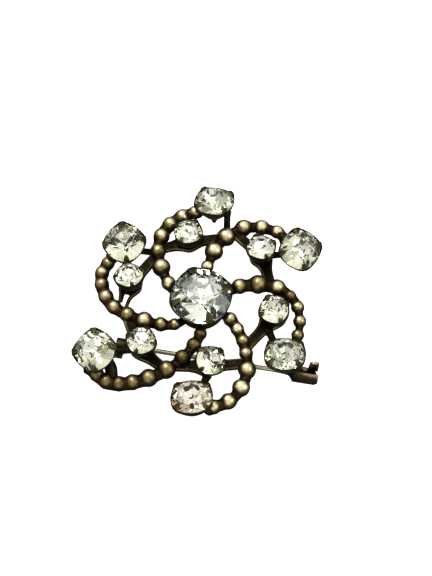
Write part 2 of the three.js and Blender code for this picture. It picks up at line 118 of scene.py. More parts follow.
# Arms: plan bends from hub to outer collet, each bead's place along the arm with its diameter,
# each neck's width as a share of the smaller of its two beads, and how rubbed the beads are, from
# the least to the most, which also scales each bead's painted top highlight. NECK_CUT is how much
# deeper the necks are on top than that share, and RUN_OUT is how far the rod runs on evenly past
# its last bead.
ARM_ROOT_Z, ARM_TIP_Z, ARM_FOOT_Z = 2.55, 1.75, 1.25
FOOT_BEAD_RADIUS = 0.775
NECK_CUT = 0.2
RUN_OUT = 2.0
ARM_STEP, ARM_SIDES = 0.16, 28
ARMS = [
    dict(bends=[(-2.4, 0.2), (-5.1, 3.3), (-6.8, 8.6),
                (-5.8, 12.7), (-3.0, 15.3), (-0.4, 16.2)],
         beads=[(4.2, 2.3), (7.15, 2.9), (10.15, 2.6), (12.9, 2.65),
                (15.5, 2.5), (17.9, 2.4), (20.1, 2.2)],
         necks=[0.8, 0.66, 0.7, 0.78, 0.84, 0.86, 0.86, 0.85], wear=(0.65, 0.95)),
    dict(bends=[(0.0, 2.4), (0.9, 6.0), (3.2, 10.7), (7.4, 13.2), (12.2, 12.3), (13.9, 10.2)],
         beads=[(4.0, 2.0), (6.85, 2.95), (10.15, 3.0), (13.4, 2.75), (16.3, 2.5), (18.9, 2.2)],
         necks=[0.8, 0.68, 0.6, 0.62, 0.7, 0.78, 0.82], wear=(0.85, 1.1)),
    dict(bends=[(2.2, 1.0), (6.1, 2.7), (11.6, 2.6), (14.5, 0.2), (15.1, -3.9), (13.9, -7.6)],
         beads=[(4.3, 2.5), (7.15, 3.0), (10.2, 2.6), (12.65, 1.8),
                (14.85, 2.1), (17.2, 2.1), (19.5, 2.0)],
         necks=[0.8, 0.78, 0.78, 0.85, 0.85, 0.66, 0.62, 0.7], wear=(0.45, 0.9)),
    dict(bends=[(2.4, -0.8), (4.7, -3.2), (6.6, -7.2), (6.8, -12.0), (4.7, -15.6), (1.1, -17.2)],
         beads=[(3.1, 2.2), (5.1, 2.1), (7.15, 2.1), (9.25, 2.15),
                (11.9, 2.8), (14.9, 2.75), (17.75, 2.55), (20.15, 2.3)],
         necks=[0.8, 0.86, 0.86, 0.84, 0.75, 0.66, 0.68, 0.8, 0.85], wear=(0.75, 1.0)),
    dict(bends=[(0.3, -2.4), (-0.3, -5.8), (-3.3, -9.7),
                (-8.2, -12.5), (-13.6, -13.1), (-17.0, -10.5)],
         beads=[(3.1, 2.0), (5.25, 2.3), (7.9, 2.6), (10.95, 2.85),
                (13.9, 2.8), (16.4, 2.5), (18.45, 2.4), (20.4, 2.4), (22.3, 2.3)],
         necks=[0.8, 0.78, 0.7, 0.62, 0.7, 0.82, 0.88, 0.9, 0.9, 0.9], wear=(0.3, 0.7)),
    dict(bends=[(-1.6, -1.8), (-4.4, -3.8), (-9.7, -2.7),
                (-14.0, -0.1), (-15.6, 4.6), (-13.9, 8.3)],
         beads=[(3.3, 1.9), (5.45, 2.3), (8.1, 2.75), (10.95, 2.45), (13.4, 2.35),
                (15.65, 2.4), (17.85, 2.35), (19.9, 2.3), (21.8, 2.2)],
         necks=[0.8, 0.76, 0.68, 0.68, 0.8, 0.86, 0.88, 0.88, 0.88, 0.85], wear=(0.6, 0.95)),
]

# Straps: plan ends at two arms' beads. Each dips to a dish under its inner collet. One dish is
# wider than the rest, and one strap parts into two wires at its first end, along a slot.
WIDE_STRAP, SPLIT_STRAP = 3, 6
SLOT = dict(half=0.3, from_dish=1.5, from_end=0.5)
STRAP = dict(half=0.62, dish=1.65, wide_dish=2.05, thick=0.7, end_z=2.3, low_z=1.95)
STRAP_ENDS = [
    ((-6.9, 9.3), (3.6, 11.3)),
    ((5.1, 12.3), (10.7, 3.2)),
    ((12.8, 2.3), (6.7, -7.6)),
    ((6.8, -10.0), (-4.4, -10.4)),
    ((-5.4, -11.0), (-11.6, -1.7)),
    ((-12.4, -1.2), (-6.9, 8.4)),
]

# Stays: from under an outer collet to the strap beside it.
STAY = dict(half_side=0.56, half_over=0.42, sag=0.15, edge=0.12)
STAY_ENDS = [
    ((4.1, 15.6, 3.0), (4.0, 11.9, 2.1)),
    ((15.0, 8.8, 1.9), (10.2, 8.2, 1.9)),
    ((12.6, -9.6, 1.9), (10.3, -4.6, 1.9)),
    ((-1.3, -17.0, 1.9), (1.0, -11.9, 1.9)),
    ((-15.2, -8.2, 1.9), (-9.8, -7.6, 1.9)),
    ((-12.0, 9.4, 1.9), (-7.0, 8.8, 1.9)),
]

# Solder: the radius and the flatness of each kind of drop, and the run that props outer collet 5.
ARM_DROP, STRAP_DROP, STAY_DROP = (1.15, 0.8), (0.85, 0.55), (0.62, 0.7)
PROPPED_ARM = 5
SOLDER_PROP = [(-14.6, -9.0, 1.7), (-13.6, -10.6, 1.6), (-13.5, -12.4, 1.6)]
PROP_HALF_SIDE, PROP_HALF_OVER = 0.95, 0.6

HUB_RADIUS = 3.75

# Pin stem, rivet, hinge and catch. The stem is flattened into a shoulder near its eye. The web's
# outline is about the rivet and the tab's is about tab_at. A catch's mouth is in degrees.
RIVET_AT = Vector(frame["joints"][0]["pos_m"]) / MM
PIN_TIP = Vector((-13.8, -5.4, -1.5))
STEM = dict(radius=0.38, point=2.6, bore=0.4, shoulder_at=2.2, shoulder_reach=1.6)
RIVET_HALF = 0.93
RIVET_HEAD = [(0.0, 0.25), (0.34, 0.22), (0.58, 0.12), (0.66, 0.0), (0.36, -0.02)]
HINGE = dict(ear=(0.46, 0.88), web=(1.05, 1.45), leg=0.52, tab_half=0.22, tab_at=(17.2, -10.05, 0))
WEB_OUTLINE = [(-2.3, -0.88), (2.3, -0.88), (2.3, -0.1), (1.9, 0.35),
               (1.2, 0.88), (-1.8, 0.88), (-2.3, 0.5)]
TAB_OUTLINE = [(-0.85, -0.9), (0.7, -0.9), (0.7, 1.9), (0.4, 2.35),
               (-0.35, 2.4), (-0.7, 2.0), (-0.85, 0.4)]
CATCH = dict(inner=0.8, wall=0.36, width=1.7, mouth=76, post=3.2, sheet=0.4, from_tip=0.65)

# Lamps: place, width, power in watts and colour. Camera: its tilt from straight above, in degrees,
# its distance, how far it is moved right and up, and its lens.
LAMPS = {
    "key_box": ((-70, 130, 260), 130, 0.5, (1.0, 0.97, 0.9)),
    "side_box": ((230, -40, 190), 150, 0.22, (0.92, 0.96, 1.0)),
    "front_box": ((-60, -230, 160), 120, 0.12, (1.0, 1.0, 1.0)),
}
CAMERA = dict(tilt=25, distance=190, right=2.29, up=3.17, lens=101.5)
FLOOR_GAP, FLOOR_SIZE = 0.05, 900


# ---------------------------------------------------------------- shader arithmetic
class Value:
    """A number that varies over a surface. Python arithmetic on it adds Math nodes."""

    def __init__(self, finish, socket):
        self.finish = finish
        self.socket = socket

    def math(self, operation, *others):
        sockets = dict(enumerate((self, *others)))
        node = self.finish.node("ShaderNodeMath", {"operation": operation}, sockets)
        return Value(self.finish, node.outputs[0])

    def of(self, number):
        return number if isinstance(number, Value) else Value(self.finish, number)

    def __add__(self, other):
        return self.math("ADD", other)

    def __radd__(self, other):
        return self.math("ADD", other)

    def __sub__(self, other):
        return self.math("SUBTRACT", other)

    def __rsub__(self, other):
        return self.of(other).math("SUBTRACT", self)

    def __mul__(self, other):
        return self.math("MULTIPLY", other)

    def __rmul__(self, other):
        return self.math("MULTIPLY", other)

    def clamped(self):
        return self.math("MAXIMUM", 0.0).math("MINIMUM", 1.0)


class Bench:
    """Places and wires the nodes of one node tree."""

    def __init__(self, tree):
        self.tree = tree

    def node(self, kind, settings, values):
        """A node of that kind: its settings first, then the values or links of its sockets."""
        node = self.tree.nodes.new(kind)
        for key, setting in settings.items():
            if key == "stops":
                self.set_stops(node.color_ramp, setting)
            else:
                setattr(node, key, setting)
        self.feed(node, values)
        return node

    def feed(self, node, values):
        for key, value in values.items():
            socket = node.inputs[key]
            if isinstance(value, Value):
                value = value.socket
            if isinstance(value, bpy.types.NodeSocket):
                self.tree.links.new(value, socket)
            else:
                socket.default_value = value

    @staticmethod
    def set_stops(ramp, stops):
        while len(ramp.elements) < len(stops):
            ramp.elements.new(1.0)
        for element, (place, colour) in zip(ramp.elements, stops):
            element.position = place
            element.color = (*colour, 1.0)

    def ramp(self, value, stops):
        return self.node("ShaderNodeValToRGB", {"stops": stops}, {"Fac": value}).outputs[0]


class Finish(Bench):
    """A material built node by node round one Principled shader."""

    def __init__(self, name, **uniform):
        self.material = bpy.data.materials.new(name)
        self.material.use_nodes = True
        super().__init__(self.material.node_tree)
        self.tree.nodes.clear()
        self.shader = self.node("ShaderNodeBsdfPrincipled", {}, {})
        self.node("ShaderNodeOutputMaterial", {}, {"Surface": self.shader.outputs[0]})
        self.wire(**uniform)

    def wire(self, **values):
        """Feeds the shader: keys are socket names with underscores for spaces."""
        self.feed(self.shader, {key.replace("_", " "): value for key, value in values.items()})

    def place(self, stretch):
        """Object coordinates in millimetres, so that a pattern's scale is per millimetre."""
        at = self.node("ShaderNodeTexCoord", {}, {}).outputs["Object"]
        size = tuple(share / MM for share in stretch)
        return self.node("ShaderNodeMapping", {}, {"Vector": at, "Scale": size}).outputs[0]

    def noise(self, scale, detail=3.0, roughness=0.55, stretch=(1.0, 1.0, 1.0)):
        at = self.place(stretch)
        values = {"Vector": at, "Scale": scale, "Detail": detail, "Roughness": roughness}
        return Value(self, self.node("ShaderNodeTexNoise", {}, values).outputs[0])

    def attribute(self, name):
        node = self.node("ShaderNodeAttribute", {"attribute_name": name}, {})
        return Value(self, node.outputs["Fac"])

    def mix(self, factor, first, second):
        values = {0: factor, 6: first, 7: second}
        return self.node("ShaderNodeMix", {"data_type": "RGBA"}, values).outputs[2]

    def bump(self, height, strength, distance):
        """distance is the height of the relief, in millimetres."""
        values = {"Height": height, "Strength": strength, "Distance": distance * MM}
        return self.node("ShaderNodeBump", {}, values).outputs[0]


# ---------------------------------------------------------------- finishes
def aged_brass(name, hollow_and_shade_colour, middle, rubbed_and_lit_colour, shine, pitted=1.0):
    """Brass with dark patina in its hollows, painted shade on its sides and underneath, and a
    lighter top that is part rubbed wear and part painted highlight.

    Its three colours run from the darkest, for hollows and painted shade, through a middle tone,
    to the lightest, for rubbed spots and painted highlight; shine is the roughness of its rubbed
    spots.
    """
    finish = Finish(name, Metallic=1.0)
    rub = finish.attribute("rub")
    cloud = finish.noise(0.55, 4.0)
    grain = finish.noise(5.0, 3.0, 0.6)
    # Painted light: the per-vertex value is low on sides and undersides (painted shade) and high on
    # tops (painted highlight), mixed with real wear and patchy tone.
    worn_and_lit = (rub + (cloud - 0.5) * 0.7 + (grain - 0.5) * 0.35).clamped()
    # The ramp's first stop is near-black painted shade.
    stops = [(0.0, (0.008, 0.006, 0.004)), (0.3, hollow_and_shade_colour), (0.62, middle), (0.95, rubbed_and_lit_colour)]
    colour = finish.ramp(worn_and_lit, stops)
    verdigris = ((finish.noise(1.3, 5.0) - 0.56) * 5.0).clamped() * (1.0 - worn_and_lit) * 0.35
    colour = finish.mix(verdigris, colour, (0.10, 0.13, 0.07, 1.0))
    rough = 0.55 - worn_and_lit * (0.55 - shine) + (grain - 0.5) * 0.16
    pits = finish.noise(3.2, 4.0, 0.6) + finish.noise(11.0, 2.0) * 0.4
    normal = finish.bump(pits, 0.35 * pitted, 0.08)
    finish.wire(Base_Color=colour, Roughness=rough, Normal=normal)
    return finish.material


def wire_metal():
    """The pin stem's aged plated wire, drawn lengthwise, with dull patches."""
    finish = Finish("pin_wire", Metallic=1.0)
    rub = finish.attribute("rub")
    drawn = finish.noise(6.0, 2.0, 0.5, stretch=(0.15, 1.0, 1.0))
    patch = finish.noise(0.9, 3.0)
    # The per-vertex value here is painted light, lighter on faces towards the front and darker
    # towards the back; the patches are real dull wear. The ramp's first stop is near-black painted
    # shade.
    worn_and_lit = (rub * 0.8 + patch * 0.5 - 0.15 + (drawn - 0.5) * 0.2).clamped()
    colour = finish.ramp(worn_and_lit, [
        (0.0, (0.02, 0.016, 0.01)),
        (0.45, (0.14, 0.115, 0.07)),
        (0.9, (0.42, 0.38, 0.27)),
    ])
    rough = 0.5 - worn_and_lit * 0.22
    finish.wire(Base_Color=colour, Roughness=rough, Normal=finish.bump(drawn, 0.2, 0.03))
    return finish.material


def paste_glass():
    """Clear lead paste: bright and sharp, with a faint green cast and light wear on its faces."""
    tint = (0.97, 0.98, 0.94, 1.0)
    finish = Finish("paste_glass", Transmission_Weight=1.0, IOR=1.5, Base_Color=tint)
    smear = ((finish.noise(1.1, 3.0) - 0.5) * 2.0).clamped()
    finish.wire(Roughness=smear * 0.03)
    return finish.material


def aged_foil(name, bright, middle, dull):
    """The silvered back of a paste stone. Its facets have aged unevenly, from bright to dull."""
    finish = Finish(name, Metallic=1.0)
    cloud = finish.noise(0.6, 2.0)
    age = (finish.attribute("age") + (cloud - 0.5) * 0.5).clamped()
    colour = finish.ramp(age, [(0.0, bright), (0.5, middle), (1.0, dull)])
    finish.wire(Base_Color=colour, Roughness=0.05 + age * 0.08)
    return finish.material


ARM_BRASS = aged_brass(
    "arm_brass", (0.036, 0.021, 0.007), (0.2, 0.15, 0.062), (0.76, 0.66, 0.4), 0.27)
# Painted shade: the straps' brass is a darker copy of the arms' brass, standing in for the shade
# under the stones.
SHADED_STRAP_BRASS = aged_brass(
    "shaded_strap_brass", (0.012, 0.008, 0.004), (0.07, 0.05, 0.022), (0.6, 0.5, 0.3), 0.26)
COLLET_BRASS = aged_brass(
    "collet_brass", (0.02, 0.016, 0.007), (0.12, 0.098, 0.04), (0.5, 0.43, 0.23), 0.3)
# Painted shade: the hinge and catch brass is a darker copy, standing in for the shade at the back
# of the brooch.
SHADED_HINGE_BRASS = aged_brass(
    "shaded_hinge_brass", (0.011, 0.007, 0.004), (0.05, 0.036, 0.017), (0.46, 0.39, 0.22), 0.34)
SOLDER = aged_brass(
    "old_solder", (0.016, 0.012, 0.008), (0.07, 0.06, 0.04), (0.34, 0.3, 0.23), 0.4, pitted=1.8)
PIN_WIRE = wire_metal()
PASTE_GLASS = paste_glass()
OLD_FOIL = aged_foil("old_foil", (0.95, 0.95, 0.85), (0.82, 0.83, 0.71), (0.4, 0.41, 0.31))
COOL_FOIL = aged_foil("cool_foil", (0.98, 0.99, 0.94), (0.87, 0.91, 0.85), (0.33, 0.37, 0.33))
ROSY_FOIL = aged_foil("rosy_foil", (0.92, 0.89, 0.78), (0.78, 0.67, 0.55), (0.42, 0.29, 0.22))


# ---------------------------------------------------------------- bench tools
def finish_piece(bm, name, materials, nodes, body="frame", smooth=True, modifiers=()):
    """Makes an object of a bmesh in millimetres, and ties it to the frame.

    nodes are the CAD nodes that it stands in for.
    """
    bmesh.ops.scale(bm, vec=(MM, MM, MM), verts=bm.verts)
    mesh = bpy.data.meshes.new(name)
    bm.to_mesh(mesh)
    bm.free()
    for polygon in mesh.polygons:
        polygon.use_smooth = smooth
    piece = bpy.data.objects.new(name, mesh)
    bpy.context.scene.collection.objects.link(piece)
    for material in materials:
        mesh.materials.append(material)
    for kind, settings in modifiers:
        modifier = piece.modifiers.new(kind.lower(), kind)
        for key, value in settings.items():
            setattr(modifier, key, value)
    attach(piece, body)
    if nodes:
        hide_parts(*nodes)


ROUNDED = ("SUBSURF", {"levels": 1, "render_levels": 1})


def sheet_metal(thickness):
    """A wall for an open sheet, grown to the back of its faces."""
    return ("SOLIDIFY", {"thickness": thickness * MM, "offset": -1.0})


def soft_edges(width):
    """A bevel that rounds a piece's hard edges."""
    settings = {"width": width * MM, "segments": 2, "limit_method": "ANGLE", "angle_limit": 0.6}
    return ("BEVEL", settings)


def spun(bm, profile, steps):
    """Turns an outline of (radius, height) points about Z, closes it and returns its vertices."""
    before = set(bm.verts)
    row = [bm.verts.new((radius, 0, height)) for radius, height in profile]
    edges = [bm.edges.new(pair) for pair in zip(row, row[1:])]
    bmesh.ops.spin(bm, geom=row + edges, cent=(0, 0, 0), axis=UP, angle=math.tau, steps=steps,
                   use_merge=True)
    made = [v for v in bm.verts if v not in before]
    bmesh.ops.remove_doubles(bm, verts=made, dist=1e-4)
    made = [v for v in bm.verts if v not in before]
    faces = list({face for v in made for face in v.link_faces})
    bmesh.ops.recalc_face_normals(bm, faces=faces)
    return made


def join_in(bm, part):
    """Adds another bmesh's shape to bm."""
    mesh = bpy.data.meshes.new("part")
    part.to_mesh(mesh)
    part.free()
    bm.from_mesh(mesh)
    bpy.data.meshes.remove(mesh)


class Track:
    """A smooth curve through points, walked by distance along it."""

    def __init__(self, points, samples=24):
        points = [Vector(p) for p in points]
        ends = [points[0] * 2 - points[1], *points, points[-1] * 2 - points[-2]]
        self.line = []
        for i in range(len(points) - 1):
            steps = [k / samples for k in range(samples)]
            self.line += [self.between(ends[i:i + 4], t) for t in steps]
        self.line.append(points[-1])
        self.marks = [0.0]
        for a, b in zip(self.line, self.line[1:]):
            self.marks.append(self.marks[-1] + (b - a).length)
        self.length = self.marks[-1]

    @staticmethod
    def between(four, t):
        """The centripetal Catmull-Rom curve between the middle two of four points."""
        knots = [0.0]
        for a, b in zip(four, four[1:]):
            knots.append(knots[-1] + max((b - a).length, 1e-4) ** 0.5)
        here = knots[1] + (knots[2] - knots[1]) * t

        def blend(a, b, i, j):
            return a.lerp(b, (here - knots[i]) / (knots[j] - knots[i]))

        near, mid, far = (blend(four[i], four[i + 1], i, i + 1) for i in range(3))
        return blend(blend(near, mid, 0, 2), blend(mid, far, 1, 3), 1, 2)

    def at(self, along):
        """The point and the unit direction at that distance from the start."""
        along = min(max(along, 0.0), self.length)
        low, high = 0, len(self.marks) - 1
        while high - low > 1:
            middle = (low + high) // 2
            low, high = (middle, high) if self.marks[middle] <= along else (low, middle)
        share = (along - self.marks[low]) / max(self.marks[high] - self.marks[low], 1e-9)
        a, b = self.line[low], self.line[high]
        before = self.line[max(low - 1, 0)]
        after = self.line[min(high + 1, len(self.line) - 1)]
        way = (b - before).lerp(after - a, share)
        return a.lerp(b, share), way.normalized()

    def axes(self, along):
        """The point there, with the directions along the curve, beside it and over it."""
        point, way = self.at(along)
        side = UP.cross(way).normalized()
        return point, way, side, way.cross(side)


def store_wear_and_painted_light(bm, rule):
    """Stores a value from 0, dark, to 1, light, for each vertex as a float attribute: part real
    wear, part painted shade and painted highlight, as each rule sets it.
    """
    bm.normal_update()
    layer = bm.verts.layers.float.new("rub")
    for vert in bm.verts:
        vert[layer] = min(max(rule(vert), 0.0), 1.0)


def facing_up(normal):
    """1 where a surface faces the front of the brooch and 0 where it faces the back."""
    return (normal.z + 1) / 2


def setting_matrix(size, place):
    """Carries a setting from its own axes, girdle at z = 0, to its place."""
    (x, y), lean, towards, spin = place
    tilt, way = math.radians(lean), math.radians(towards)
    axis = Vector((math.sin(tilt) * math.cos(way), math.sin(tilt) * math.sin(way), math.cos(tilt)))
    turn = UP.rotation_difference(axis) @ Quaternion(UP, math.radians(spin))
    return Matrix.Translation((x, y, size["girdle_z"])) @ turn.to_matrix().to_4x4()


# ---------------------------------------------------------------- stones
def plane_cut(bm, at, outwards, material):
    """Grinds a flat facet: takes off what lies outside the plane and closes the cut."""
    everything = bm.verts[:] + bm.edges[:] + bm.faces[:]
    cut = bmesh.ops.bisect_plane(bm, geom=everything, dist=1e-6, plane_co=at, plane_no=outwards,
                                 clear_outer=True)
    rim = [e for e in cut["geom_cut"] if isinstance(e, bmesh.types.BMEdge) and e.is_boundary]
    if len(rim) > 2:
        for face in bmesh.ops.contextual_create(bm, geom=rim, mat_nr=material)["faces"]:
            face.material_index = material


def facet_ring(bm, start, radius, height, rise, material):
    """A ring of like facets. Each plane passes (radius, height) and climbs inwards by rise."""
    for k in range(MAIN_FACETS):
        angle = start + math.tau * k / MAIN_FACETS
        out = Vector((math.cos(angle), math.sin(angle), 0))
        tilt = Vector((out.x * abs(rise), out.y * abs(rise), math.copysign(1.0, rise)))
        plane_cut(bm, out * radius + UP * height, tilt.normalized(), material)


def cut_stone(size):
    """A round brilliant: glass facets in front (material 0) and foiled ones behind (material 1)."""
    radius, crown, pavilion = size["stone"], size["crown"], size["pavilion"]
    table = radius * TABLE
    between = math.pi / MAIN_FACETS
    bm = bmesh.new()
    age = bm.faces.layers.float.new("age")
    blank = bmesh.ops.create_cone(bm, cap_ends=True, segments=64, radius1=radius, radius2=radius,
                                  depth=crown + pavilion)
    bmesh.ops.translate(bm, verts=blank["verts"], vec=UP * (crown - pavilion) / 2)
    main_rise = (crown - GIRDLE) / (radius - table)
    facet_ring(bm, between, radius, GIRDLE, main_rise * GIRDLE_FACET_RISE, 0)
    facet_ring(bm, 0, radius, GIRDLE, main_rise, 0)
    star_radius = table * math.cos(between) * 1.02
    facet_ring(bm, between, star_radius, crown, main_rise * STAR_FACET_RISE, 0)
    back_rise = (pavilion * FOIL_DEPTH - GIRDLE) / radius
    facet_ring(bm, 0, radius, -GIRDLE, -back_rise * LOWER_FACET_RISE, 1)
    facet_ring(bm, between, radius, -GIRDLE, -back_rise, 1)
    bmesh.ops.remove_doubles(bm, verts=bm.verts, dist=1e-4)
    bmesh.ops.recalc_face_normals(bm, faces=bm.faces)
    for face in bm.faces:
        face.material_index = 1 if face.normal.z < -0.05 else 0
        face[age] = RANDOM.random() ** 1.6
    return bm


def make_stone(name, node, size, place, foil):
    """A stone at its place, with that foil behind it."""
    bm = cut_stone(size)
    bmesh.ops.transform(bm, matrix=setting_matrix(size, place), verts=bm.verts)
    finish_piece(bm, name, [PASTE_GLASS, foil], [node], smooth=False)


# ---------------------------------------------------------------- collets
def corner_share(angle):
    """How far a collet's outline is drawn out at that angle: 1 at the claws, 0 between them."""
    return ((1 + math.cos(4 * angle)) / 2) ** 1.6


def collet_rows(size):
    """The funnel's wall from foot to rim: height, radius and share of the corners at each row."""
    depth = size["pavilion"] + COLLET_FLOOR
    rows = [(-depth - size["stub"], size["foot"], 0.0)]
    if size["stub"]:
        rows.append((-depth - size["stub"] * 0.4, size["foot"] * 1.1, 0.0))
        rows.append((-depth, size["shoulder"], 0.0))
    low_z, low_radius, _ = rows[-1]
    for share in WALL_SHARES:
        bulge = size["belly"] * math.sin(math.pi * share ** 0.8) * size["rim"]
        z = low_z + (WALL_TOP_Z - low_z) * share
        rows.append((z, low_radius + (size["rim"] - low_radius) * share + bulge, share ** 2 * 0.8))
    rows.append((FOLD_Z, size["rim"] + 0.02, 0.95))
    rows.append((RIM_Z, size["rim"], 1.0))
    return rows


def claw_path(size):
    """Radius, height and half-width of a claw's rows, from the rim over the crown to its tip."""
    slope = (size["crown"] - GIRDLE) / (size["stone"] * (1 - TABLE))
    corner = size["rim"] + size["corner"]
    tip = corner - size["reach"]
    lift = size["sheet"] + 0.05

    def on_crown(radius):
        return GIRDLE + (size["stone"] - radius) * slope + lift

    over = size["stone"] + 0.02
    wide = size["claw"] * RANDOM.uniform(0.82, 1.12)
    return [
        (corner + 0.03, 0.3, wide * 0.95),
        (over + 0.12, on_crown(over) + 0.1, wide * 0.86),
        ((over + tip) / 2, on_crown((over + tip) / 2), wide * 0.68),
        (tip + 0.14, on_crown(tip + 0.14), wide * 0.42),
        (tip, on_crown(tip) - 0.04, wide * 0.14),
    ]


def make_collet(name, node, size, place):
    """A funnel drawn up row by row from its foot, then its four claws."""
    bm = bmesh.new()
    rub = bm.verts.layers.float.new("rub")
    rows = collet_rows(size)
    foot_z, foot_radius, _ = rows[0]
    foot = bmesh.ops.create_circle(bm, cap_ends=True, segments=AROUND, radius=foot_radius)["verts"]
    bmesh.ops.translate(bm, verts=foot, vec=UP * foot_z)
    edges = [e for e in bm.edges if e.is_boundary]
    for z, radius, share in rows[1:]:
        grown = bmesh.ops.extrude_edge_only(bm, edges=edges)["geom"]
        edges = [g for g in grown if isinstance(g, bmesh.types.BMEdge) and g.is_boundary]
        for vert in {v for e in edges for v in e.verts}:
            angle = math.atan2(vert.co.y, vert.co.x)
            reach = radius + size["corner"] * share * corner_share(angle)
            vert.co = Vector((math.cos(angle) * reach, math.sin(angle) * reach, z))
    # Painted shade: the cup is painted darker towards its foot under the stone, and darker again at
    # its rim as a painted shadow line.
    for vert in bm.verts:
        height = (vert.co.z - foot_z) / -foot_z
        in_shade = 0.14 if vert.co.z > RIM_Z / 2 else 0.0
        vert[rub] = 0.2 + 0.2 * height ** 2 - in_shade
    for quarter in range(4):
        raise_claw(bm, rub, size, edges, quarter * math.tau / 4)
    for vert in bm.verts:
        vert.co += Vector((RANDOM.uniform(-1, 1), RANDOM.uniform(-1, 1), 0)) * STRAY
    bmesh.ops.recalc_face_normals(bm, faces=bm.faces)
    bmesh.ops.transform(bm, matrix=setting_matrix(size, place), verts=bm.verts)
    finish_piece(bm, name, [COLLET_BRASS], [node],
                 modifiers=[sheet_metal(size["sheet"]), ROUNDED])


def raise_claw(bm, rub, size, rim_edges, angle):
    """Draws a claw up from the rim at that angle and lays it over the crown."""
    out = Vector((math.cos(angle), math.sin(angle), 0))
    side = UP.cross(out)
    reach = (CLAW_HALF + 0.5) * math.tau / AROUND
    edges = [e for e in rim_edges
             if all(v.co.xy.angle(out.xy) < reach - 1e-3 for v in e.verts)]
    for k, (radius, z, half) in enumerate(claw_path(size)):
        grown = bmesh.ops.extrude_edge_only(bm, edges=edges)["geom"]
        tips = {g for g in grown if isinstance(g, bmesh.types.BMVert)}
        edges = [g for g in grown
                 if isinstance(g, bmesh.types.BMEdge) and tips.issuperset(g.verts)]
        ordered = sorted(tips, key=lambda v: v.co.dot(side))
        for j, vert in enumerate(ordered):
            across = 2 * j / (len(ordered) - 1) - 1
            swell = 0.09 * (1 - across * across)
            vert.co = out * (radius + swell * 0.4) + side * across * half + UP * (z + swell)
            # The claws are lighter towards their tips and lighter still along their two edges.
            vert[rub] = 0.24 + 0.09 * k + (0.14 if abs(across) > 0.9 else 0.0)


# ---------------------------------------------------------------- beaded arms
def arm_track(arm):
    """The line of an arm: up from its foot on the hub, then down towards the outer collet."""
    last = len(arm["bends"]) - 1
    points = []
    for i, (x, y) in enumerate(arm["bends"]):
        z = ARM_FOOT_Z if i == 0 else ARM_ROOT_Z + (ARM_TIP_Z - ARM_ROOT_Z) * i / last
        points.append((x, y, z))
    return Track(points)


def smooth_max(a, b, reach=0.1):
    """The larger of two radii, with a fillet where they meet."""
    close = max(reach - abs(a - b), 0.0) / reach
    return max(a, b) + close * close * reach / 4


def rod_radii(arm, beads, along):
    """The cast rod's radius at a place, on its beaded top and on its plainer underside."""
    passed = sum(1 for bead in beads if bead[0] <= along)
    last_place, last_radius, _ = beads[-1]
    start, before = beads[passed - 1][:2] if passed else (0.0, FOOT_BEAD_RADIUS)
    end, beyond = beads[passed][:2] if passed < len(beads) else (last_place + RUN_OUT, last_radius)
    plain = before + (beyond - before) * (along - start) / (end - start)
    neck_share = arm["necks"][passed]
    top = (neck_share - NECK_CUT) * min(before, beyond)
    for place, radius in ((start, before), (end, beyond)):
        off = abs(along - place)
        if off < radius and (passed or place):
            top = smooth_max(top, (radius * radius - off * off) ** 0.5)
    return top, max(top, plain * min(neck_share + 0.06, 0.94))


def make_arm(number, arm):
    """One cast rod, spun round its beads and laid along its bends, with a top that is part rubbed
    wear and part painted highlight.
    """
    track = arm_track(arm)
    beads = [(along, width / 2, RANDOM.uniform(*arm["wear"])) for along, width in arm["beads"]]
    steps = int(track.length / ARM_STEP)
    marks = [track.length * k / steps for k in range(steps + 1)]
    profile = [(0.0, 0.0)] + [(1.0, s) for s in marks] + [(0.0, track.length)]
    bm = bmesh.new()
    spun(bm, profile, ARM_SIDES)
    rub = bm.verts.layers.float.new("rub")
    for vert in bm.verts:
        along = vert.co.z
        across = Vector((vert.co.x, vert.co.y))
        point, _, side, over = track.axes(along)
        top, under = rod_radii(arm, beads, along)
        height = min(max(across.y * 0.5 + 0.5, 0.0), 1.0) if across.length > 0.5 else 0.5
        place, bead_radius, wear = min(beads, key=lambda bead: abs(bead[0] - along))
        centre = 1 - min(abs(along - place) / bead_radius, 1.0) ** 2
        radius = under + (top - under) * min(height * 1.25, 1.0) ** 2
        # Painted highlight on each bead's top centre, scaled by the bead's wear; the rod's sides
        # and underside stay dark as painted shade.
        painted_top_highlight = height ** 2.6 * (0.02 + 0.98 * centre ** 1.5)
        vert[rub] = 0.02 + 0.08 * height + wear * painted_top_highlight
        vert.co = point + (side * across.x + over * across.y) * radius
    bmesh.ops.recalc_face_normals(bm, faces=bm.faces)
    finish_piece(bm, f"arm_{number}_cast", [ARM_BRASS], [f"beaded_arm_{number}"])


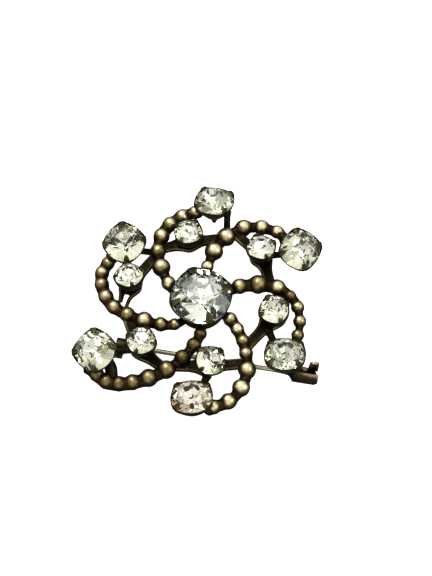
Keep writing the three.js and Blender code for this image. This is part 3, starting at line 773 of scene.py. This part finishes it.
# ---------------------------------------------------------------- straps and stays
def make_strap(number):
    """A strip with raised edges, wide as a boat where it carries the inner collet."""
    start, end = STRAP_ENDS[number - 1]
    depth = INNER["pavilion"] + COLLET_FLOOR + INNER["stub"]
    foot = setting_matrix(INNER, INNER_SET[number - 1]) @ Vector((0, 0, -depth))
    foot.z = 0
    ends = [Vector((*start, 0)), Vector((*end, 0))]
    reach = min((ends[0] - foot).length, (ends[1] - foot).length)
    track = Track([ends[0], foot, ends[1]])
    dish = STRAP["wide_dish"] if number == WIDE_STRAP else STRAP["dish"]
    bm = bmesh.new()
    rub = bm.verts.layers.float.new("rub")
    for vert in bmesh.ops.create_grid(bm, x_segments=60, y_segments=8, size=1)["verts"]:
        along, across = (vert.co.x + 1) / 2, vert.co.y
        point, _, side, _ = track.axes(along * track.length)
        away = (point - foot).length
        share = min(away / reach, 1.0)
        belly = math.exp(-(away / (dish * 0.95)) ** 2)
        half = STRAP["half"] + (dish - STRAP["half"]) * belly
        lip = (0.16 + 0.14 * belly) * across ** 4
        level = STRAP["low_z"] + (STRAP["end_z"] - STRAP["low_z"]) * share ** 2
        vert.co = point + side * across * half + UP * (level + lip)
        # Painted shade: the strip is darkest in its dish under the inner collet and lighter up
        # towards its ends; its raised lips are lighter, part edge wear and part painted highlight.
        vert[rub] = 0.05 + 0.5 * across ** 8 + 0.1 * share
    if number == SPLIT_STRAP:
        slot = [f for f in bm.faces if lies_in_slot(f, foot, ends[0])]
        bmesh.ops.delete(bm, geom=slot, context="FACES")
    bmesh.ops.recalc_face_normals(bm, faces=bm.faces)
    flip_to_front(bm)
    finish_piece(bm, f"strap_{number}_strip", [SHADED_STRAP_BRASS], [f"strap_{number}"],
                 modifiers=[sheet_metal(STRAP["thick"]), ROUNDED])


def lies_in_slot(face, foot, end):
    """Whether a face lies in the slot that parts the strap's end into two wires."""
    offset = face.calc_center_median().xy - foot.xy
    span = end.xy - foot.xy
    to_end = (offset - span).length
    if to_end > span.length or offset.length < SLOT["from_dish"] or to_end <= SLOT["from_end"]:
        return False
    axis = span.normalized()
    return abs(offset.x * axis.y - offset.y * axis.x) < SLOT["half"]


def flip_to_front(bm):
    """Turns an open sheet's faces towards the front of the brooch."""
    if sum(face.normal.z for face in bm.faces) < 0:
        bmesh.ops.reverse_faces(bm, faces=bm.faces)


def bent_bar(points, half_side, half_over, flare, sides=12, steps=12):
    """A bar of oval section along a smooth curve, flared towards its two ends."""
    track = Track(points)
    bm = bmesh.new()
    bmesh.ops.create_cone(bm, cap_ends=True, segments=sides, radius1=1, radius2=1, depth=1.0)
    long_edges = [e for e in bm.edges if abs(e.verts[0].co.z - e.verts[1].co.z) > 0.5]
    bmesh.ops.subdivide_edges(bm, edges=long_edges, cuts=steps)
    for vert in bm.verts:
        share = vert.co.z + 0.5
        point, _, side, over = track.axes(share * track.length)
        swell = 1 + flare * (2 * share - 1) ** 4
        sideways, upwards = vert.co.x * half_side * swell, vert.co.y * half_over * swell
        vert.co = point + side * sideways + over * upwards
    bmesh.ops.recalc_face_normals(bm, faces=bm.faces)
    return bm


def make_stay(number):
    """A short bar, flared where solder joins it to a collet at one end and a strap at the other."""
    start, end = (Vector(p) for p in STAY_ENDS[number - 1])
    middle = start.lerp(end, 0.5) - UP * STAY["sag"]
    bm = bent_bar([start, middle, end], STAY["half_side"], STAY["half_over"], flare=0.4)
    # Painted light: faces towards the front are painted lighter and faces towards the back darker.
    store_wear_and_painted_light(bm, lambda v: 0.06 + 0.5 * facing_up(v.normal) ** 3)
    finish_piece(bm, f"stay_{number}_bar", [COLLET_BRASS], [f"stay_{number}"],
                 modifiers=[soft_edges(STAY["edge"])])


def solder_drop(at, radius, squash):
    """A flattened, uneven drop of old solder."""
    bm = bmesh.new()
    drop = bmesh.ops.create_icosphere(bm, subdivisions=3, radius=radius)["verts"]
    phase = RANDOM.uniform(0, math.tau)
    for vert in drop:
        x, y, z = vert.co
        swell = 1 + 0.12 * math.sin(3 * x / radius + phase) * math.cos(2 * y / radius)
        vert.co = Vector((x * swell, y * swell, z * squash)) + Vector(at)
    return bm


def solder_joints(number):
    """The solder that holds one arm's end, its strap and its stay."""
    i = number - 1
    track = arm_track(ARMS[i])
    bm = bmesh.new()
    end, _ = track.at(track.length - 0.3)
    join_in(bm, solder_drop(end + UP * 0.1, *ARM_DROP))
    for x, y in STRAP_ENDS[i]:
        join_in(bm, solder_drop((x, y, STRAP["end_z"] - STRAP["thick"]), *STRAP_DROP))
    for x, y, z in STAY_ENDS[i]:
        join_in(bm, solder_drop((x, y, z - 0.1), *STAY_DROP))
    if number == PROPPED_ARM:
        join_in(bm, bent_bar(SOLDER_PROP, PROP_HALF_SIDE, PROP_HALF_OVER, flare=0.3))
    # Painted light: faces towards the front are painted lighter and faces towards the back darker.
    store_wear_and_painted_light(bm, lambda v: 0.05 + 0.35 * facing_up(v.normal) ** 2)
    finish_piece(bm, f"solder_run_{number}", [SOLDER], [])


# ---------------------------------------------------------------- hub
def make_hub():
    """The disc behind the centre stone: flat at the back, domed in front and a little uneven."""
    bm = bmesh.new()
    spun(bm, [(0.0, 0.06), (1.2, 0.05), (3.3, 0.0), (3.65, 0.08), (HUB_RADIUS, 0.26), (3.65, 0.48),
              (3.3, 0.62), (2.6, 0.82), (1.4, 0.98), (0.0, 1.0)], 72)
    for vert in bm.verts:
        turn = math.atan2(vert.co.y, vert.co.x)
        vert.co.x *= 1 + 0.015 * math.sin(5 * turn + vert.co.length)
    # Painted shade: the disc is kept dark where it lies under the centre collet, and only a little
    # lighter at its outer edge.
    store_wear_and_painted_light(bm, lambda v: 0.1 + 0.12 * (v.co.xy.length / HUB_RADIUS) ** 6)
    finish_piece(bm, "hub_disc", [ARM_BRASS], ["hub"], modifiers=[ROUNDED])


# ---------------------------------------------------------------- hinge, pin and catch
# The pinwork's own axes: x along the stem from rivet to point, y along the rivet, z to the front.
STEM_WAY = (PIN_TIP - RIVET_AT).normalized()
STEM_LENGTH = (PIN_TIP - RIVET_AT).length
FRONT_WAY = (UP + UP.cross(STEM_WAY)).normalized()
RIVET_WAY = FRONT_WAY.cross(STEM_WAY)
PINWORK_TURN = Matrix((STEM_WAY, RIVET_WAY, FRONT_WAY)).transposed()
PINWORK = Matrix.Translation(RIVET_AT) @ PINWORK_TURN.to_4x4()
ON_X = Matrix.Rotation(math.pi / 2, 4, "Y")
ON_Y = Matrix.Rotation(math.pi / 2, 4, "X")


def make_pin():
    """The stem: an eye round the rivet, a flattened shoulder, a drawn wire and a ground point."""
    bm = bmesh.new()
    bore = STEM["bore"]
    eye = spun(bm, [(bore, -0.3), (bore, 0.3), (0.5, 0.39), (0.84, 0.38), (0.95, 0.26),
                    (0.95, -0.26), (0.84, -0.38), (0.5, -0.39), (bore, -0.3)], 32)
    bmesh.ops.transform(bm, matrix=ON_Y, verts=eye)
    shoulder = [(0.0, 0.7), (0.3, 0.72), (0.62, 1.0), (0.8, 1.16), (1.2, 2.4), (1.0, 3.4),
                (0.94, 5.0)]
    plain = STEM_LENGTH - 4 - STEM["point"]
    shaft = [(0.94, 4 + plain * k / 8) for k in range(1, 9)]
    point = [(0.8, STEM_LENGTH - 1.6), (0.55, STEM_LENGTH - 0.8), (0.25, STEM_LENGTH - 0.2),
             (0.0, STEM_LENGTH)]
    rows = [(share * STEM["radius"], along) for share, along in shoulder + shaft + point]
    wire = spun(bm, rows, 20)
    for vert in wire:
        flat = max(0.0, 1 - abs(vert.co.z - STEM["shoulder_at"]) / STEM["shoulder_reach"])
        vert.co.x *= 1 - 0.22 * flat
        vert.co.y *= 1 + 0.16 * flat
    bmesh.ops.transform(bm, matrix=ON_X, verts=wire)
    bmesh.ops.recalc_face_normals(bm, faces=bm.faces)
    bmesh.ops.transform(bm, matrix=PINWORK, verts=bm.verts)
    # Painted light: faces towards the front are painted lighter and faces towards the back darker.
    store_wear_and_painted_light(bm, lambda v: 0.25 + 0.5 * facing_up(v.normal))
    finish_piece(bm, "pin_wire_stem", [PIN_WIRE], ["pin_stem"], body="pin")


def make_rivet():
    """A plain shank with a low domed head at each end."""
    bm = bmesh.new()
    lower = [(radius, -RIVET_HALF - rise) for radius, rise in RIVET_HEAD]
    upper = [(radius, RIVET_HALF + rise) for radius, rise in reversed(RIVET_HEAD)]
    spun(bm, lower + upper, 28)
    bmesh.ops.transform(bm, matrix=PINWORK @ ON_Y, verts=bm.verts)
    # Painted light: faces towards the front are painted lighter and faces towards the back darker.
    store_wear_and_painted_light(bm, lambda v: 0.3 + 0.4 * facing_up(v.normal))
    finish_piece(bm, "rivet_pin", [PIN_WIRE], ["hinge_rivet"])


def plate(outline, low, high, turn=Matrix()):
    """A plate with rounded edges: an outline in x and y, pushed up from low to high and turned."""
    bm = bmesh.new()
    face = bm.faces.new([bm.verts.new((x, y, low)) for x, y in outline])
    grown = bmesh.ops.extrude_face_region(bm, geom=[face])["geom"]
    made = [g for g in grown if isinstance(g, bmesh.types.BMVert)]
    bmesh.ops.translate(bm, verts=made, vec=(0, 0, high - low))
    bmesh.ops.recalc_face_normals(bm, faces=bm.faces)
    sharp = [e for e in bm.edges if e.calc_face_angle() > 0.4]
    bmesh.ops.bevel(bm, geom=sharp, offset=0.07, offset_type="OFFSET", segments=2, profile=0.5,
                    affect="EDGES", material=-1, clamp_overlap=True)
    bmesh.ops.transform(bm, matrix=turn, verts=bm.verts)
    return bm


def arc(radius, start, end, steps):
    """Points on an arc about the rivet, in x and z."""
    turn = [math.radians(start + (end - start) * k / steps) for k in range(steps + 1)]
    return [(radius * math.cos(a), radius * math.sin(a)) for a in turn]


def make_bracket():
    """The hinge: two ears folded down from a web, a leg to an outer collet and an upright tab."""
    bm = bmesh.new()
    rear, front = [(-1.95, 1.42), (-1.95, 0.5), (-1.2, -0.35)], [(1.7, 0.3), (1.7, 1.42)]
    ear = rear + arc(1.0, 205, 335, 8) + front
    near, far = HINGE["ear"]
    join_in(bm, plate(ear, -far, -near, ON_Y))
    join_in(bm, plate(ear, near, far, ON_Y))
    join_in(bm, plate(WEB_OUTLINE, *HINGE["web"]))
    bmesh.ops.transform(bm, matrix=PINWORK, verts=bm.verts)
    foot = setting_matrix(OUTER, OUTER_SET[2]) @ Vector((0, 0, -OUTER["pavilion"] - COLLET_FLOOR))
    root = PINWORK @ Vector((1.4, 0, 1.2))
    leg = HINGE["leg"]
    join_in(bm, bent_bar([root, root.lerp(foot, 0.5), foot], leg, leg, flare=0.35))
    tab_half, tab_place = HINGE["tab_half"], Matrix.Translation(HINGE["tab_at"])
    join_in(bm, plate(TAB_OUTLINE, -tab_half, tab_half, tab_place @ ON_Y))

    # Painted light: faces towards the front are painted lighter, and the tab is painted lighter all
    # over for the light it catches.
    def wear_and_light_rule(vert):
        on_tab = vert.co.x > 16.2 and vert.co.z > 0
        return 0.1 + 0.4 * facing_up(vert.normal) ** 2 + (0.5 if on_tab else 0.0)

    store_wear_and_painted_light(bm, wear_and_light_rule)
    finish_piece(bm, "hinge_fold", [SHADED_HINGE_BRASS], ["hinge_bracket"])


def make_catch():
    """A strip bent round the pin's tip, with its mouth to the back and a post up to the frame."""
    bm = bmesh.new()
    inner, wall, width, mouth = (CATCH[key] for key in ("inner", "wall", "width", "mouth"))
    corners = [(inner, 0), (inner + wall, 0), (inner + wall, width), (inner, width)]
    row = [bm.verts.new((0, radius, along)) for radius, along in corners]
    for pair in zip(row, row[1:] + row[:1]):
        bm.edges.new(pair)
    start = Matrix.Rotation(math.radians(180 + mouth / 2), 4, "Z")
    bmesh.ops.transform(bm, matrix=start, verts=row)
    bow = bmesh.ops.spin(bm, geom=row + list(bm.edges), cent=(0, 0, 0), axis=UP,
                         angle=math.radians(360 - mouth), steps=30)["geom_last"]
    bm.faces.new(row)
    bm.faces.new([g for g in bow if isinstance(g, bmesh.types.BMVert)])
    stand = bmesh.ops.create_grid(bm, x_segments=3, y_segments=10, size=0.5)["verts"]
    for vert in stand:
        share = vert.co.y + 0.5
        wide = width / 2 * (1 - 0.12 * math.sin(math.pi * share))
        rise = inner + wall * 0.5 + CATCH["post"] * share
        vert.co = Vector((0, rise, width / 2 + vert.co.x * 2 * wide))
    flat = list({f for v in stand for f in v.link_faces})
    bmesh.ops.recalc_face_normals(bm, faces=bm.faces)
    bmesh.ops.solidify(bm, geom=flat, thickness=CATCH["sheet"])
    bmesh.ops.recalc_face_normals(bm, faces=bm.faces)
    along = STEM_LENGTH - CATCH["from_tip"] - width
    upright = Matrix(((0, 0, 1, along), (1, 0, 0, 0), (0, 1, 0, 0), (0, 0, 0, 1)))
    bmesh.ops.transform(bm, matrix=PINWORK @ upright, verts=bm.verts)
    # Painted light: faces towards the front are painted lighter and faces towards the back darker.
    store_wear_and_painted_light(bm, lambda v: 0.2 + 0.4 * facing_up(v.normal) ** 2)
    finish_piece(bm, "catch_hook", [SHADED_HINGE_BRASS], ["catch"],
                 modifiers=[soft_edges(0.08)])


make_hub()
make_stone("centre_gem", "centre_stone", CENTRE, CENTRE_SET, COOL_FOIL)
make_collet("centre_cup", "centre_collet", CENTRE, CENTRE_SET)
for i in range(6):
    k = i + 1
    outer = TOP_OUTER if k == 1 else OUTER
    foil = ROSY_FOIL if k == 4 else OLD_FOIL
    make_stone(f"outer_gem_{k}", f"outer_stone_{k}", outer, OUTER_SET[i], foil)
    make_collet(f"outer_cup_{k}", f"outer_collet_{k}", outer, OUTER_SET[i])
    inner = DEEP_INNER if k == 3 else INNER
    make_stone(f"inner_gem_{k}", f"inner_stone_{k}", inner, INNER_SET[i], OLD_FOIL)
    make_collet(f"inner_cup_{k}", f"inner_collet_{k}", inner, INNER_SET[i])
    make_arm(k, ARMS[i])
    make_strap(k)
    make_stay(k)
    solder_joints(k)
make_pin()
make_rivet()
make_bracket()
make_catch()

# ---------------------------------------------------------------- floor, lights and camera
def make_floor():
    """White paper just under the brooch."""
    bm = bmesh.new()
    bmesh.ops.create_grid(bm, x_segments=1, y_segments=1, size=FLOOR_SIZE * MM)
    floor_z = cad_box[0][2] - FLOOR_GAP * MM
    bmesh.ops.translate(bm, verts=bm.verts, vec=(0, 0, floor_z))
    mesh = bpy.data.meshes.new("paper_floor")
    bm.to_mesh(mesh)
    bm.free()
    floor = bpy.data.objects.new("paper_floor", mesh)
    bpy.context.scene.collection.objects.link(floor)
    paper = Finish("white_paper", Base_Color=(0.93, 0.93, 0.92, 1.0), Roughness=0.9,
                   Emission_Color=(1, 1, 1, 1), Emission_Strength=0.75)
    mesh.materials.append(paper.material)
    floor.visible_glossy = False


def light_sky():
    """A studio seen in the metal: dark below, bright above, in soft patches."""
    world = bpy.data.worlds.new("studio")
    world.use_nodes = True
    sky = Bench(world.node_tree)
    around = sky.node("ShaderNodeTexCoord", {}, {}).outputs["Generated"]
    height = Value(sky, sky.node("ShaderNodeSeparateXYZ", {}, {"Vector": around}).outputs["Z"])
    values = {"Vector": around, "Scale": 2.4, "Detail": 1.0}
    patches = Value(sky, sky.node("ShaderNodeTexNoise", {}, values).outputs[0])
    level = height * 0.5 + (patches - 0.5) * 0.5 + 0.5
    light = sky.ramp(level.clamped(), [
        (0.1, (0.15, 0.15, 0.14)),
        (0.38, (0.25, 0.25, 0.24)),
        (0.56, (0.6, 0.61, 0.59)),
        (0.72, (0.95, 0.95, 0.93)),
        (1.0, (1.1, 1.1, 1.06)),
    ])
    sky.feed(world.node_tree.nodes["Background"], {"Color": light, "Strength": 1.0})
    bpy.context.scene.world = world


def soft_light(name, at, size, watts, colour):
    """A square softbox that faces the brooch, placed in millimetres."""
    lamp = bpy.data.lights.new(name, "AREA")
    lamp.size = size * MM
    lamp.energy = watts
    lamp.color = colour
    light = bpy.data.objects.new(name, lamp)
    light.location = Vector(at) * MM
    light.rotation_euler = (-Vector(at)).to_track_quat("-Z", "Y").to_euler()
    bpy.context.scene.collection.objects.link(light)


def set_camera():
    """A long lens that looks down at the brooch, tilted towards its lower edge."""
    tilt = math.radians(CAMERA["tilt"])
    back = Vector((0, -math.sin(tilt), math.cos(tilt))) * CAMERA["distance"]
    up = Vector((0, math.cos(tilt), math.sin(tilt))) * CAMERA["up"]
    lens = bpy.data.cameras.new("camera")
    lens.sensor_fit = "HORIZONTAL"
    lens.sensor_width = 36
    lens.lens = CAMERA["lens"]
    lens.clip_start = 0.01
    camera = bpy.data.objects.new("camera", lens)
    camera.location = (back + Vector((CAMERA["right"], 0, 0)) + up) * MM
    camera.rotation_euler = (tilt, 0, 0)
    bpy.context.scene.collection.objects.link(camera)
    bpy.context.scene.camera = camera


make_floor()
light_sky()
for name, (at, size, watts, colour) in LAMPS.items():
    soft_light(name, at, size, watts, colour)
set_camera()
bpy.context.scene.view_settings.view_transform = "Standard"

bpy.context.view_layer.update()
